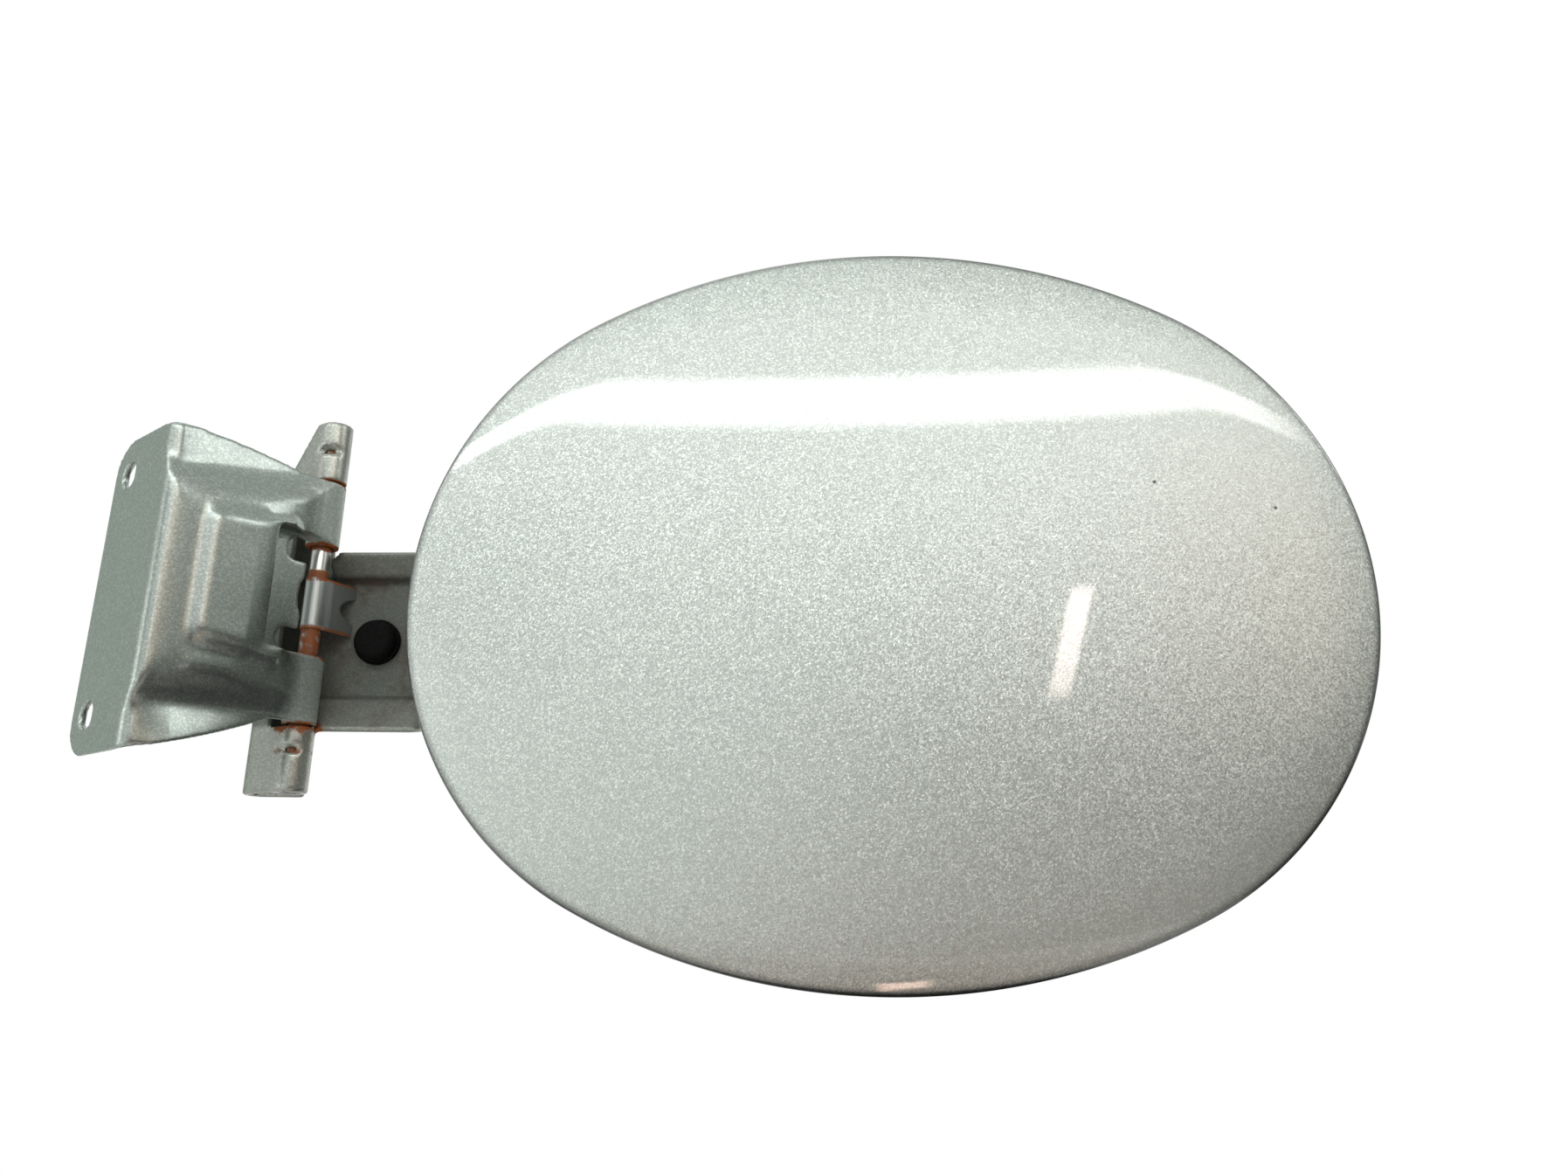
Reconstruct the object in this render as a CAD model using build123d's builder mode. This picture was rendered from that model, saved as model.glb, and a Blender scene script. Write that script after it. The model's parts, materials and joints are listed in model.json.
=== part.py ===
"""Car fuel door with its hinge: a hemmed, crowned oval door on a gooseneck arm, a stamped body bracket,
the hinge pin, a leaf spring, a rubber bumper and the latch striker.

Frame: millimetres, +Z up along the hinge axis, the door's outer face towards -Y. The origin is the middle
of the bracket's two screw holes, on the face of the flange that seats on the car body.
"""
import os
from math import asin, atan2, cos, degrees, hypot, radians, sin, sqrt

from build123d import *

# Sheet metal and pin
bracket_sheet = 1.4
arm_sheet = 1.4
skin_sheet = 0.8
inner_sheet = 0.7
spring_sheet = 0.3
striker_sheet = 1.2
pin_diameter = 4.0
running_clearance = 0.05
seat_clearance = 0.02

# Hinge stack, measured along the pin from the middle of the hinge
tongue_gap = 12.0
bracket_knuckle_length = 14.3
knuckle_gap = 0.4
arm_knuckle_length = 13.6
pin_recess = 0.4
roll_slit = 0.5
crimp_offset_top = 6.6
crimp_offset_bottom = 8.7
crimp_depth = 1.2
crimp_radius = 1.0
bracket_slit_angle = 200.0
arm_slit_angle = 165.0

# Bracket, as seen square on to its web
open_angle = 54.0
body_length = 35.5
bend_radius = 0.8
flange_width = 24.8
flange_corner = 7.0
flange_top = 32.5
flange_bottom = 32.6
hole_from_bend = 18.2
hole_spacing = 49.4
hole_diameter = 5.5
hinge_rise = 3.4
straight_edge = 8.0
edge_bulge = 0.8
hump_crest_from_bend = 15.5
hump_height = 3.2
hump_slope = 25.0
crease_start = 7.0
crease_near = 25.4
crease_top = 19.8
crease_bottom = 26.4
plateau_height = 1.2
plateau_shift = 5.0
plateau_start = 5.0
plateau_end = 30.4
plateau_near_top = 18.7
plateau_far_top = 15.2
plateau_near_bottom = 20.1
plateau_far_bottom = 17.0
plateau_corner = 4.0
plateau_draft = 45.0
strip_start = 13.6
strip_width = 25.4
strip_corner = 1.5
notch_depth = 9.3
tongue_width = 14.2
tongue_end = 4.6
tongue_edge_radius = 9.0
tongue_hollow = 1.0

# Door, seen from outside
door_length = 180.0
door_height = 141.2
door_end_setback = 6.2
door_crown = 5.0
crown_margin = 1.3
door_from_pin = 119.6
door_from_pin_out = 25.0
door_below_pin = 5.4
hem_width = 9.0
hem_edge_radius = 1.0
hem_clearance = 0.4
pan_inset = 15.0
pan_depth = 7.0
pan_draft = 40.0
bead_length = 46.0
bead_width = 9.0
bead_depth = 1.6
bead_spacing = 82.0
gauge_hole = 8.0
gauge_spacing = 62.0
gauge_from_centre = 34.0

# Gooseneck arm: sections are given across the hinge axis, widths along it
neck_left = 11.4
neck_floor = 7.5
neck_return = 3.5
neck_corner_radius = 2.2
neck_relief_radius = 6.3
crossbar_right = -0.5
channel_start = 0.5
crossbar_corner = 8.0
ear_chamfer_length = 12.9
ear_chamfer_width = 8.6
ear_taper_length = 9.0
ear_taper_width = 2.6
channel_top = 6.5
channel_bottom = 19.0
channel_flare_top = 5.4
channel_flare_bottom = 8.0
channel_lip = 5.2
channel_radius = 3.0
ramp_start = 27.0
ramp_end = 47.0
ramp_radius = 9.0
foot_end = 112.0
foot_top = 16.0
foot_bottom = 26.0
foot_corner = 10.0

# Leaf spring on the pin
spring_width = 11.1
spring_tail = 5.7
spring_tail_gap = 0.05
spring_shift = 0.45
spring_wrap = 150.0
fishtail_notch = 3.2

# Rubber bumper on the arm's floor
bumper_from_pin = 12.1
bumper_below = 7.1
bumper_head = 9.0
bumper_base = 9.8
bumper_base_height = 1.2
bumper_height = 3.8
bumper_stem = 4.6
bumper_lip = 6.6
bumper_lip_height = 2.2
bumper_round = 1.6

# Latch striker on the inner panel, at the end away from the hinge
striker_from_centre = 58.0
striker_width = 16.0
striker_foot = 15.0
striker_height = 17.0
striker_bend = 1.6
striker_corner = 3.0
latch_hole_width = 8.0
latch_hole_height = 6.0
latch_hole_above = 10.0

# Worked-out sizes
pin_radius = pin_diameter / 2
bracket_bore = pin_radius + running_clearance
arm_bore = pin_radius + seat_clearance
bracket_knuckle = bracket_bore + bracket_sheet
arm_knuckle = arm_bore + arm_sheet
bracket_stack_end = tongue_gap + bracket_knuckle_length
arm_stack_start = bracket_stack_end + knuckle_gap
arm_stack_end = arm_stack_start + arm_knuckle_length

# Planes: the sections lie across the pin at the middle of the hinge
along_web = Vector(1, 0, 0).rotate(Axis.Z, open_angle)
out_of_web = Vector(0, -1, 0).rotate(Axis.Z, open_angle)
hinge_point = Vector(body_length, bracket_knuckle - hole_from_bend, hinge_rise).rotate(Axis.Z, open_angle)
arm_section = Plane(origin=hinge_point, x_dir=(1, 0, 0), z_dir=(0, 0, 1))
bracket_section = Plane(origin=hinge_point, x_dir=along_web, z_dir=(0, 0, 1))
web_plane = Plane(origin=hinge_point + out_of_web * bracket_knuckle, x_dir=along_web, z_dir=out_of_web)
flange_plane = Plane(origin=(0, 0, 0), x_dir=out_of_web, z_dir=-along_web)
front_plane = Plane(origin=hinge_point, x_dir=(1, 0, 0), z_dir=(0, -1, 0))
door_centre = hinge_point + Vector(door_from_pin, -door_from_pin_out, -door_below_pin)
door_plane = Plane(origin=door_centre, x_dir=(1, 0, 0), z_dir=(0, -1, 0))
pan_plane = door_plane.offset(-pan_depth)

os.makedirs("parts", exist_ok=True)


def oval_outline(inset):
    """Four-arc oval of the door, moved inwards by the inset."""
    half_length = door_length / 2 - inset
    half_height = door_height / 2 - inset
    end_radius = half_height - door_end_setback
    side_radius = (half_length**2 + half_height**2 - 2 * half_length * end_radius) / (2 * door_end_setback)
    end_centre = half_length - end_radius
    side_centre = side_radius - half_height
    joint = degrees(atan2(side_centre, end_centre))
    with BuildLine() as outline:
        CenterArc((end_centre, 0), end_radius, -joint, 2 * joint)
        CenterArc((0, -side_centre), side_radius, joint, 180 - 2 * joint)
        CenterArc((-end_centre, 0), end_radius, 180 - joint, 2 * joint)
        CenterArc((0, side_centre), side_radius, 180 + joint, 180 - 2 * joint)
    make_face(outline.edges())


def crowned_layer(top_depth, bottom_depth, mode):
    """Layer between two depths under the crowned outer face, wider than the door."""
    crown_radius = ((door_length / 2) ** 2 + door_crown**2) / (2 * door_crown)
    span = crown_margin * degrees(asin(door_length / 2 / crown_radius))
    middle = door_centre + Vector(0, crown_radius - door_crown, 0)
    side = Vector(1, 0, 0).rotate(Axis.Z, -span)
    with BuildSketch(Plane(origin=middle, x_dir=(0, 0, 1), z_dir=side)) as layer:
        with BuildLine():
            top_arc = CenterArc((0, 0), crown_radius - top_depth, 90 - span, 2 * span)
            bottom_arc = CenterArc((0, 0), crown_radius - bottom_depth, 90 - span, 2 * span)
            Line(top_arc @ 0, bottom_arc @ 0)
            Line(top_arc @ 1, bottom_arc @ 1)
        make_face()
    revolve(layer.sketch, axis=Axis(middle, (0, 0, 1)), revolution_arc=2 * span, mode=mode)


def tangent_point(start, radius, turn):
    """Where the straight from a point touches a circle round the pin, passing it on the given side."""
    distance = hypot(*start)
    heading = atan2(-start[1], -start[0]) + turn * asin(radius / distance)
    reach = sqrt(distance**2 - radius**2)
    return (start[0] + reach * cos(heading), start[1] + reach * sin(heading))


# Outer panel: the hem turns round the inner panel's edge, and the space inside the hem is open
hem_depth = 2 * skin_sheet + inner_sheet
with BuildPart() as hem_opening:
    with BuildSketch(door_plane.offset(-pan_depth)):
        oval_outline(hem_width)
    extrude(amount=pan_depth + door_crown)
    crowned_layer(skin_sheet, pan_depth + door_crown, Mode.INTERSECT)

with BuildPart() as hem_slot:
    with BuildSketch(door_plane.offset(-pan_depth)):
        oval_outline(skin_sheet)
    extrude(amount=pan_depth + door_crown)
    crowned_layer(skin_sheet, skin_sheet + inner_sheet, Mode.INTERSECT)

with BuildPart() as outer_panel:
    with BuildSketch(door_plane.offset(-pan_depth)):
        oval_outline(0)
    extrude(amount=pan_depth + 2 * door_crown)
    crowned_layer(0, hem_depth, Mode.INTERSECT)
    rim = outer_panel.edges().filter_by(lambda edge: edge.length > hem_width)
    fillet(rim, hem_edge_radius)
    add(hem_opening.part, mode=Mode.SUBTRACT)
    add(hem_slot.part, mode=Mode.SUBTRACT)
outer_panel.part.label = "outer_panel"
export_step(outer_panel.part, "parts/outer_panel.step")


# Inner panel: a flange in the hem and a drafted pan with a flat floor that carries the arm
with BuildPart() as pan_hollow:
    with BuildSketch(door_plane.offset(-pan_depth + inner_sheet)):
        oval_outline(pan_inset + inner_sheet + pan_depth * sin(radians(pan_draft)))
    extrude(amount=pan_depth + door_crown, taper=-pan_draft)

with BuildPart() as inner_flange:
    with BuildSketch(door_plane.offset(-pan_depth)):
        oval_outline(skin_sheet + hem_clearance)
    extrude(amount=pan_depth + door_crown)
    crowned_layer(skin_sheet, skin_sheet + inner_sheet, Mode.INTERSECT)

with BuildPart() as inner_panel:
    with BuildSketch(pan_plane):
        oval_outline(pan_inset + pan_depth * sin(radians(pan_draft)))
    extrude(amount=pan_depth + door_crown, taper=-pan_draft)
    crowned_layer(skin_sheet, 2 * pan_depth, Mode.INTERSECT)
    add(inner_flange.part)
    add(pan_hollow.part, mode=Mode.SUBTRACT)
    with BuildSketch(pan_plane):
        with Locations((0, bead_spacing / 2), (0, -bead_spacing / 2)):
            SlotOverall(bead_length, bead_width)
    extrude(amount=-bead_depth)
    with BuildSketch(pan_plane.offset(inner_sheet)):
        with Locations((0, bead_spacing / 2), (0, -bead_spacing / 2)):
            SlotOverall(bead_length - 2 * inner_sheet, bead_width - 2 * inner_sheet)
    extrude(amount=-bead_depth, mode=Mode.SUBTRACT)
    with BuildSketch(pan_plane):
        with Locations((gauge_from_centre, gauge_spacing / 2), (gauge_from_centre, -gauge_spacing / 2)):
            Circle(gauge_hole / 2)
    extrude(amount=2 * inner_sheet, mode=Mode.SUBTRACT)
inner_panel.part.label = "inner_panel"
export_step(inner_panel.part, "parts/inner_panel.step")


# Body bracket: one stamping of flange, web with a raised hump and panel, and two rolled knuckles
bend_outer = bend_radius + bracket_sheet
hump_crest = body_length - hump_crest_from_bend
hump_centre = (hump_crest**2 - hump_height**2) / (2 * hump_height)
hump_radius = hump_centre + hump_height + bracket_knuckle
hump_root = bracket_knuckle / 4
web_top = flange_top - hinge_rise
web_bottom = flange_bottom + hinge_rise


def flank_plane(far_crease, side, inset):
    """Plane of one sloping side of the hump, through its crease, moved inwards by the inset."""
    near = Vector(-crease_start, side * crease_near, 0)
    far = Vector(-body_length, side * far_crease, 0)
    along = (far - near).normalized()
    inward = Vector(0, 0, 1).cross(along) * side
    normal = Vector(0, 0, cos(radians(hump_slope))) - inward * sin(radians(hump_slope))
    point = near - normal * inset
    direction = web_plane.from_local_coords(normal) - web_plane.origin
    return Plane(origin=web_plane.from_local_coords(point), z_dir=direction)


def hump_form(inset):
    """Arched block from the flange to the knuckles, which it meets smoothly, with sloping sides.

    The inset moves its faces inwards by a sheet or by nothing.
    """
    with BuildSketch(bracket_section.offset(-web_bottom)) as arch:
        with Locations((-hump_crest, hump_centre)):
            Circle(hump_radius - inset)
        with Locations((-body_length + inset, -bracket_knuckle + bracket_sheet / 2 + inset)):
            Rectangle(
                body_length + hump_root - inset,
                body_length,
                align=(Align.MIN, Align.MAX),
                mode=Mode.INTERSECT,
            )
        with Locations((-body_length + inset, -bracket_knuckle + bend_outer + inset)):
            Rectangle(bracket_sheet, bend_outer, align=(Align.MIN, Align.MAX))
        bend_corner = arch.vertices().group_by(Axis.X)[0].sort_by(Axis.Y)[0]
        fillet(bend_corner, bend_outer - inset)
    extrude(arch.sketch, amount=web_top + web_bottom)
    split(bisect_by=flank_plane(crease_top, 1, inset), keep=Keep.BOTTOM)
    split(bisect_by=flank_plane(crease_bottom, -1, inset), keep=Keep.BOTTOM)


def panel_form(inset):
    """Raised panel on the hump: a trapezoid with drafted walls, highest by the pin and low at the bend."""
    shift = inset * (1 - sin(radians(plateau_draft))) / cos(radians(plateau_draft))
    near_edge = -plateau_start - shift
    far_edge = -plateau_end + shift
    with BuildSketch(web_plane.offset(-inset)) as outline:
        with BuildLine():
            Polyline(
                (near_edge, plateau_near_top - shift),
                (far_edge, plateau_far_top - shift),
                (far_edge, shift - plateau_far_bottom),
                (near_edge, shift - plateau_near_bottom),
                close=True,
            )
        make_face()
        fillet(outline.vertices(), plateau_corner - shift)
    extrude(outline.sketch, amount=2 * hump_height, taper=plateau_draft)
    with BuildSketch(bracket_section.offset(-web_bottom)) as arch:
        with Locations((plateau_shift - hump_crest, hump_centre)):
            Circle(hump_radius + plateau_height - inset)
    extrude(arch.sketch, amount=web_top + web_bottom, mode=Mode.INTERSECT)


with BuildPart() as hump:
    hump_form(0)

with BuildPart() as panel:
    panel_form(0)

with BuildPart() as strip_seat:
    with BuildSketch(web_plane.offset(-2 * bracket_sheet)):
        with Locations((-strip_start - bracket_sheet, 0)):
            Rectangle(2 * strip_start, strip_width + 2 * bracket_sheet, align=(Align.MIN, Align.CENTER))
    extrude(amount=body_length)

with BuildPart() as hump_hollow:
    hump_form(bracket_sheet)
    add(strip_seat.part, mode=Mode.SUBTRACT)

with BuildPart() as panel_hollow:
    panel_form(bracket_sheet)
    add(strip_seat.part, mode=Mode.SUBTRACT)

with BuildPart() as hinge_bracket:
    web_line = -bracket_knuckle + bracket_sheet / 2
    flange_line = -body_length + bracket_sheet / 2
    with BuildSketch(bracket_section.offset(-web_bottom)):
        with BuildLine():
            FilletPolyline(
                (0, web_line),
                (flange_line, web_line),
                (flange_line, flange_width - bracket_knuckle),
                radius=bend_outer - bracket_sheet / 2,
            )
        trace(line_width=bracket_sheet)
    extrude(amount=web_top + web_bottom)
    flange_end = hinge_bracket.faces().sort_by(Axis((0, 0, 0), -out_of_web))[-1]
    fillet(flange_end.edges().filter_by(Axis((0, 0, 0), along_web)), flange_corner)
    add(hump.part)
    add(panel.part)
    # Outline of the web: straight at the knuckles, then widening to the bend
    with BuildSketch(web_plane):
        with BuildLine():
            top_mid = (-(straight_edge + body_length) / 2, (bracket_stack_end + web_top) / 2 + edge_bulge)
            low_mid = (-(straight_edge + body_length) / 2, -(bracket_stack_end + web_bottom) / 2 - edge_bulge)
            Line((body_length, bracket_stack_end), (-straight_edge, bracket_stack_end))
            ThreePointArc((-straight_edge, bracket_stack_end), top_mid, (-body_length, web_top))
            Polyline(
                (-body_length, web_top),
                (-2 * body_length, web_top),
                (-2 * body_length, -web_bottom),
                (-body_length, -web_bottom),
            )
            ThreePointArc((-body_length, -web_bottom), low_mid, (-straight_edge, -bracket_stack_end))
            Polyline(
                (-straight_edge, -bracket_stack_end),
                (body_length, -bracket_stack_end),
                (body_length, bracket_stack_end),
            )
        make_face()
    extrude(amount=2 * flange_width, both=True, mode=Mode.INTERSECT)
    # Low strip beside the pin, and the hollows behind the hump and the panel
    with BuildSketch(web_plane):
        with Locations((-strip_start, 0)):
            RectangleRounded(2 * strip_start, strip_width, strip_corner, align=(Align.MIN, Align.CENTER))
    extrude(amount=body_length, mode=Mode.SUBTRACT)
    add(hump_hollow.part, mode=Mode.SUBTRACT)
    add(panel_hollow.part, mode=Mode.SUBTRACT)
    # Notches beside the tongue, and the tongue's hollow edge
    notch_width = tongue_gap - tongue_width / 2
    notch_place = (tongue_gap + tongue_width / 2) / 2
    with BuildSketch(web_plane):
        with Locations((-tongue_end, 0)):
            Rectangle(2 * tongue_end, 2 * tongue_gap, align=(Align.MIN, Align.CENTER))
        with Locations((-notch_depth, notch_place), (-notch_depth, -notch_place)):
            SlotOverall(2 * notch_depth, notch_width, align=(Align.MIN, Align.CENTER))
        with Locations((tongue_edge_radius - tongue_end - tongue_hollow, 0)):
            Circle(tongue_edge_radius)
    extrude(amount=-2 * bracket_sheet, mode=Mode.SUBTRACT)
    # Rolled knuckles, each with the slit where the roll ends
    for bottom in (tongue_gap, -bracket_stack_end):
        with BuildSketch(bracket_section.offset(bottom)):
            Circle(bracket_knuckle)
            Circle(bracket_bore, mode=Mode.SUBTRACT)
            with Locations(Location((0, 0), bracket_slit_angle)):
                with Locations((bracket_bore - roll_slit, 0)):
                    Rectangle(
                        bracket_sheet + roll_slit / 2,
                        roll_slit,
                        align=(Align.MIN, Align.CENTER),
                        mode=Mode.SUBTRACT,
                    )
        extrude(amount=bracket_knuckle_length)
    # Two screw holes in the flange
    with BuildSketch(flange_plane):
        with Locations((0, hole_spacing / 2), (0, -hole_spacing / 2)):
            Circle(hole_diameter / 2)
    extrude(amount=-2 * bracket_sheet, mode=Mode.SUBTRACT)
hinge_bracket.part.label = "hinge_bracket"
export_step(hinge_bracket.part, "parts/hinge_bracket.step")


# Gooseneck arm: a bent plate that rolls round the pin at both ends and is welded to the inner panel
foot_line = pan_depth + arm_sheet / 2 - door_from_pin_out
arm_roll = arm_bore + arm_sheet / 2
neck_corner = (-neck_left, neck_floor)
return_corner = (-neck_left, neck_return)
with BuildPart() as channel:
    channel_path_start = arm_section.from_local_coords(Vector(channel_start, neck_floor, 0))
    with BuildLine(arm_section) as channel_path:
        FilletPolyline(
            (channel_start, neck_floor),
            (ramp_start, neck_floor),
            (ramp_end, foot_line),
            radius=ramp_radius,
        )
    with BuildSketch(Plane(origin=channel_path_start, x_dir=(0, 0, 1), z_dir=(1, 0, 0))):
        with BuildLine():
            FilletPolyline(
                (channel_top + channel_flare_top, channel_lip),
                (channel_top, 0),
                (-channel_bottom, 0),
                (-channel_bottom - channel_flare_bottom, channel_lip),
                radius=channel_radius,
            )
        trace(line_width=arm_sheet)
    sweep(path=channel_path.wires()[0])
    with BuildSketch(arm_section.offset(-arm_stack_end)):
        Circle(bracket_knuckle + knuckle_gap)
    extrude(amount=2 * arm_stack_end, mode=Mode.SUBTRACT)
    split(bisect_by=Plane(origin=pan_plane.origin, z_dir=(0, 1, 0)), keep=Keep.TOP)

with BuildPart() as hinge_arm:
    with BuildSketch(arm_section.offset(-arm_stack_end)):
        with BuildLine():
            FilletPolyline(
                (foot_end, foot_line),
                (ramp_end, foot_line),
                (ramp_start, neck_floor),
                neck_corner,
                return_corner,
                tangent_point(return_corner, arm_roll, -1),
                radius=(ramp_radius, ramp_radius, neck_corner_radius, neck_corner_radius),
            )
        trace(line_width=arm_sheet)
    extrude(amount=2 * arm_stack_end)
    # Plan of the arm: crossbar along the pin, stem and welded foot
    with BuildSketch(front_plane) as plan:
        with Locations((crossbar_right, 0)):
            Rectangle(2 * neck_left, 2 * arm_stack_end, align=(Align.MAX, Align.CENTER))
        with BuildLine():
            Polyline(
                (-neck_left, channel_top),
                (ramp_start, channel_top),
                (ramp_end, foot_top),
                (foot_end, foot_top),
                (foot_end, -foot_bottom),
                (ramp_end, -foot_bottom),
                (ramp_start, -channel_bottom),
                (-neck_left, -channel_bottom),
                close=True,
            )
        make_face()
        inner_corners = plan.vertices().group_by(Axis.X)[1].sort_by(Axis.Y)[1:3]
        fillet(inner_corners, crossbar_corner)
        fillet(plan.vertices().group_by(Axis.X)[-1], foot_corner)
    extrude(amount=2 * door_from_pin_out, both=True, mode=Mode.INTERSECT)
    # Relief for the bracket's knuckles between the two ears
    with BuildSketch(arm_section.offset(-arm_stack_start)):
        Circle(neck_relief_radius)
    extrude(amount=2 * arm_stack_start, mode=Mode.SUBTRACT)
    # Slanted outer corner of the upper ear, and the slight taper of the lower one
    with BuildSketch(front_plane):
        ear_left = -neck_left - arm_sheet / 2
        with BuildLine():
            Polyline(
                (ear_left, arm_stack_end - ear_chamfer_length),
                (ear_left + ear_chamfer_width, arm_stack_end),
                (ear_left, arm_stack_end),
                close=True,
            )
            Polyline(
                (ear_left, ear_taper_length - arm_stack_end),
                (ear_left + ear_taper_width, -arm_stack_end),
                (ear_left, -arm_stack_end),
                close=True,
            )
        make_face()
    extrude(amount=2 * neck_floor, both=True, mode=Mode.SUBTRACT)
    # Rolled ears with slits, and the stakes that hold the pin
    for bottom in (arm_stack_start, -arm_stack_end):
        with BuildSketch(arm_section.offset(bottom)):
            Circle(arm_knuckle)
            Circle(arm_bore, mode=Mode.SUBTRACT)
            with Locations(Location((0, 0), arm_slit_angle)):
                with Locations((arm_bore - roll_slit, 0)):
                    Rectangle(
                        arm_sheet + roll_slit / 2,
                        roll_slit,
                        align=(Align.MIN, Align.CENTER),
                        mode=Mode.SUBTRACT,
                    )
        extrude(amount=arm_knuckle_length)
    with BuildSketch(Plane(origin=hinge_point, x_dir=(0, -1, 0), z_dir=(-1, 0, 0))):
        crimp_line = arm_knuckle + crimp_radius - crimp_depth
        top_crimp = (crimp_line, arm_stack_end - crimp_offset_top)
        bottom_crimp = (crimp_line, -arm_stack_end + crimp_offset_bottom)
        with Locations(top_crimp, bottom_crimp):
            Circle(crimp_radius)
    extrude(amount=2 * arm_knuckle, both=True, mode=Mode.SUBTRACT)
    add(channel.part)
    with BuildSketch(front_plane):
        with Locations((bumper_from_pin, -bumper_below)):
            Circle(bumper_stem / 2 + seat_clearance)
    extrude(amount=-2 * neck_floor, mode=Mode.SUBTRACT)
hinge_arm.part.label = "hinge_arm"
export_step(hinge_arm.part, "parts/hinge_arm.step")


# Hinge pin, staked in the arm's ears and free to turn in the bracket's knuckles
with BuildPart() as hinge_pin:
    with BuildSketch(arm_section.offset(-arm_stack_end + pin_recess)):
        Circle(pin_radius)
    extrude(amount=2 * (arm_stack_end - pin_recess))
hinge_pin.part.label = "hinge_pin"
export_step(hinge_pin.part, "parts/hinge_pin.step")


# Leaf spring: wrapped over the pin, with a fishtail that bears on the arm's floor
spring_roll = pin_radius + seat_clearance + spring_sheet / 2
floor_face = neck_floor - arm_sheet / 2
tail_end = (spring_tail, floor_face - spring_tail_gap - spring_sheet / 2)
tail_start = tangent_point(tail_end, spring_roll, 1)
wrap_start = degrees(atan2(tail_start[1], tail_start[0]))
with BuildPart() as leaf_spring:
    with BuildSketch(arm_section.offset(-spring_width / 2 - spring_shift)):
        with BuildLine():
            CenterArc((0, 0), spring_roll, wrap_start, -spring_wrap)
            Line(tail_start, tail_end)
        trace(line_width=spring_sheet)
    extrude(amount=spring_width)
    with BuildSketch(front_plane):
        with Locations((spring_tail + fishtail_notch / 2, -spring_shift)):
            Circle(fishtail_notch)
    extrude(amount=-2 * neck_floor, mode=Mode.SUBTRACT)
leaf_spring.part.label = "leaf_spring"
export_step(leaf_spring.part, "parts/leaf_spring.step")


# Rubber bumper: domed head and base on the floor, stem through it and a lip behind it
with BuildPart() as rubber_bumper:
    bumper_seat = arm_section.from_local_coords(Vector(bumper_from_pin, floor_face, -bumper_below))
    with BuildSketch(Plane(origin=bumper_seat, x_dir=(1, 0, 0), z_dir=(0, 0, 1))) as bumper_half:
        with BuildLine():
            Polyline(
                (0, -bumper_height),
                (bumper_head / 2, -bumper_height),
                (bumper_head / 2, -bumper_base_height),
                (bumper_base / 2, -bumper_base_height),
                (bumper_base / 2, 0),
                (bumper_stem / 2, 0),
                (bumper_stem / 2, arm_sheet),
                (bumper_lip / 2, arm_sheet),
                (bumper_stem / 2, arm_sheet + bumper_lip_height),
                (0, arm_sheet + bumper_lip_height),
                close=True,
            )
        make_face()
        head_corner = bumper_half.vertices().group_by(Axis.Y)[0].sort_by(Axis.X)[-1]
        fillet(head_corner, bumper_round)
    revolve(axis=Axis(bumper_seat, (0, 1, 0)))
rubber_bumper.part.label = "rubber_bumper"
export_step(rubber_bumper.part, "parts/rubber_bumper.step")


# Latch striker: an angle welded to the inner panel, with the hole that the latch bolt enters
striker_plane = Plane(origin=pan_plane.origin, x_dir=(1, 0, 0), z_dir=(0, 0, 1))
with BuildPart() as latch_striker:
    with BuildSketch(striker_plane.offset(-striker_width / 2)):
        with BuildLine():
            FilletPolyline(
                (striker_from_centre - striker_foot, striker_sheet / 2),
                (striker_from_centre, striker_sheet / 2),
                (striker_from_centre, striker_height),
                radius=striker_bend + striker_sheet / 2,
            )
        trace(line_width=striker_sheet)
    extrude(amount=striker_width)
    tip_edges = latch_striker.edges().filter_by(Axis.X).group_by(Axis.Y)[-1]
    fillet(tip_edges, striker_corner)
    latch_hole_place = pan_plane.origin + Vector(striker_from_centre, latch_hole_above, 0)
    with BuildSketch(Plane(origin=latch_hole_place, x_dir=(0, 0, 1), z_dir=(1, 0, 0))):
        RectangleRounded(latch_hole_width, latch_hole_height, striker_sheet)
    extrude(amount=2 * striker_sheet, both=True, mode=Mode.SUBTRACT)
latch_striker.part.label = "latch_striker"
export_step(latch_striker.part, "parts/latch_striker.step")
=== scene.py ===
"""Looks of a car fuel door on its stamped hinge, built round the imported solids.

The door's painted skin is a new surface, and the stamped bracket is a copy of its solid with softer pressings.
The other pieces keep their solids, most of them with softened edges. Every piece gets the paint, steel, rust or
rubber of the real one.
"""
import json
import math

import bpy
import numpy as np
from bpy.props import FloatProperty, FloatVectorProperty, PointerProperty
from bpy.types import Operator, Panel, PropertyGroup
from mathutils import Matrix, Vector


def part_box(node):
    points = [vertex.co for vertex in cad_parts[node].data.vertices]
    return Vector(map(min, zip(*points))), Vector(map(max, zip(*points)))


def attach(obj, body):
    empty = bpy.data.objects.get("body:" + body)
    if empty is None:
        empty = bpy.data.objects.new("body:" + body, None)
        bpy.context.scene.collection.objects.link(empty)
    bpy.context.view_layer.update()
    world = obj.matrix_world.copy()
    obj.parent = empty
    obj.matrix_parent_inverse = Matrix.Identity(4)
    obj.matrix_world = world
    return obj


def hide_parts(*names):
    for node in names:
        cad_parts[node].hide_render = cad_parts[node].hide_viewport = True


bl_info = {
    "name": "Car fuel door",
    "version": (1, 0, 0),
    "blender": (4, 5, 0),
    "location": "3D View > Sidebar > Fuel door",
    "description": "Paints and finishes a car fuel door with its hinge",
    "category": "Object",
}

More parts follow.
